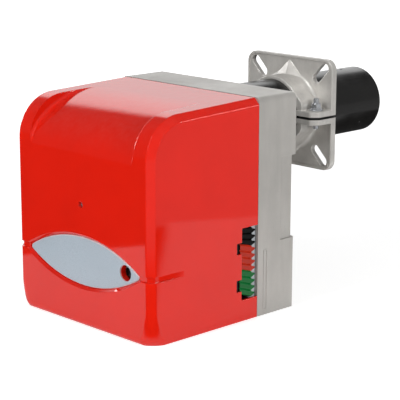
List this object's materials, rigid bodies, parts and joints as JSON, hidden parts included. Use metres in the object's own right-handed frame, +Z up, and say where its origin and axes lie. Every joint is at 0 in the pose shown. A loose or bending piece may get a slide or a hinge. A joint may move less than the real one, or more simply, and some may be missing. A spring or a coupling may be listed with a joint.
{
  "type": "diesel burner",
  "caption": "Forced-draught light-oil burner: lift-off cover over motor, pump, ignition and control, cast fan housing, blast tube and split clamp flange.",
  "frame": {"origin": "centre of the clamp flange's boiler face at rest, on the axis of the blast tube", "axes": "+X to the right seen from the cover, +Y along the blast tube towards the boiler, +Z up"},
  "size_m": [0.2715, 0.5315, 0.313],
  "materials": {
    "cast_housing": "satin painted die casting",
    "cast_plain": "bare die casting",
    "flange_cast": "bare die casting with machined edges",
    "zinc_sheet": "zinc-plated sheet",
    "zinc_fastener": "zinc-plated",
    "bright_steel": "drawn tube",
    "black_tube": "heat-resistant gloss black",
    "heat_steel": "heat-resistant steel",
    "motor_paint": "dark grey enamel",
    "core_steel": "plain",
    "winding": "varnished copper wire",
    "capacitor_plastic": "moulded",
    "pump_cast": "bare, machined faces",
    "brass": "machined",
    "copper_pipe": "drawn copper",
    "black_plastic": "moulded",
    "transformer_resin": "cast resin block",
    "ceramic": "glazed",
    "lead_silicone": "silicone sleeve",
    "lead_black": "flexible lead",
    "base_plastic": "moulded",
    "control_plastic": "moulded",
    "red_socket": "moulded",
    "green_socket": "moulded",
    "coupling_plastic": "moulded nylon",
    "red_cover": "high-gloss moulding",
    "label_blue": "bare plate",
    "button_red": "moulded"
  },
  "bodies": {
    "burner": {"housing": "cast_housing", "component_plate": "zinc_sheet", "panel_screws": "zinc_fastener", "volute": "cast_plain", "inlet_nozzle": "zinc_sheet", "blast_tube": "black_tube", "head_cone": "heat_steel", "motor_shell": "motor_paint", "motor_shields": "cast_plain", "stator": "core_steel", "windings": "winding", "motor_bearings": "core_steel", "capacitor": "capacitor_plastic", "cap_screws": "zinc_fastener", "pump_body": "pump_cast", "pump_cover": "pump_cast", "port_plugs": "zinc_fastener", "valve_stem": "brass", "valve_coil": "black_plastic", "oil_pipe": "copper_pipe", "pump_nut": "brass", "transformer": "transformer_resin", "ht_terminals": "ceramic", "ignition_leads": "lead_silicone", "control_base": "base_plastic", "control_unit": "control_plastic", "socket_black": "black_plastic", "socket_red": "red_socket", "socket_green": "green_socket", "photocell": "black_plastic", "head_plate": "cast_plain", "cover_stud": "zinc_fastener", "wiring": "lead_black"},
    "rotor": {"motor_shaft": "core_steel", "rotor_core": "core_steel", "fan_wheel": "zinc_sheet", "pump_coupling": "coupling_plastic", "pump_gear": "core_steel"},
    "combustion_head": {"nozzle_pipe": "bright_steel", "elbow_nut": "brass", "nozzle_holder": "brass", "nozzle": "brass", "diffuser_disc": "heat_steel", "centring_star": "heat_steel", "electrode_insulators": "ceramic", "electrode_wires": "heat_steel", "electrode_clamp": "heat_steel"},
    "adjusting_screw": {"adjusting_screw": "brass"},
    "cover": {"cover": "red_cover", "label_plate": "label_blue", "cover_screw": "zinc_fastener"},
    "air_damper": {"air_damper": "zinc_sheet", "damper_lever": "black_plastic"},
    "reset_button": {"reset_button": "button_red"},
    "clamp_flange": {"flange_upper": "flange_cast", "flange_lower": "flange_cast", "clamp_bolts": "zinc_fastener"},
    "pressure_screw": {"pressure_screw": "brass"},
    "valve_plunger": {"valve_plunger": "core_steel"}
  },
  "joints": [
    {"name": "cover_lift", "type": "slide", "parent": "burner", "child": "cover", "axis": [0, -1, 0], "range_m": [0, 0.22]},
    {"name": "rotor_spin", "type": "hinge", "parent": "burner", "child": "rotor", "pos_m": [-0.045, -0.25, -0.138], "axis": [0, 1, 0], "continuous": true},
    {"name": "adjusting_screw_turn", "type": "hinge", "parent": "burner", "child": "adjusting_screw", "pos_m": [-0.024, -0.24, -0.012], "axis": [0, 1, 0], "range_deg": [-1805, 1805]},
    {"name": "head_slide", "type": "slide", "parent": "burner", "child": "combustion_head", "axis": [0, 1, 0], "range_m": [-0.005, 0.005], "deforming": ["ignition_leads", "oil_pipe"]},
    {"name": "damper_turn", "type": "hinge", "parent": "burner", "child": "air_damper", "pos_m": [0, -0.1495, -0.218], "axis": [1, 0, 0], "range_deg": [-90, 0]},
    {"name": "button_press", "type": "slide", "parent": "burner", "child": "reset_button", "axis": [0, 1, 0], "range_m": [0, 0.0025], "stiffness_N_per_m": 600, "springref_m": -0.001},
    {"name": "flange_slide", "type": "slide", "parent": "burner", "child": "clamp_flange", "axis": [0, 1, 0], "range_m": [-0.085, 0.08]},
    {"name": "pressure_screw_turn", "type": "hinge", "parent": "burner", "child": "pressure_screw", "pos_m": [-0.062, -0.36, -0.132], "axis": [0, 1, 0], "range_deg": [-360, 360]},
    {"name": "valve_plunger_lift", "type": "slide", "parent": "burner", "child": "valve_plunger", "axis": [0, 0, 1], "range_m": [0, 0.0015], "stiffness_N_per_m": 300, "springref_m": -0.001}
  ],
  "couplings": [
    {"joint": "adjusting_screw_turn", "follows": "head_slide", "rad_per_m": -6283.2}
  ]
}
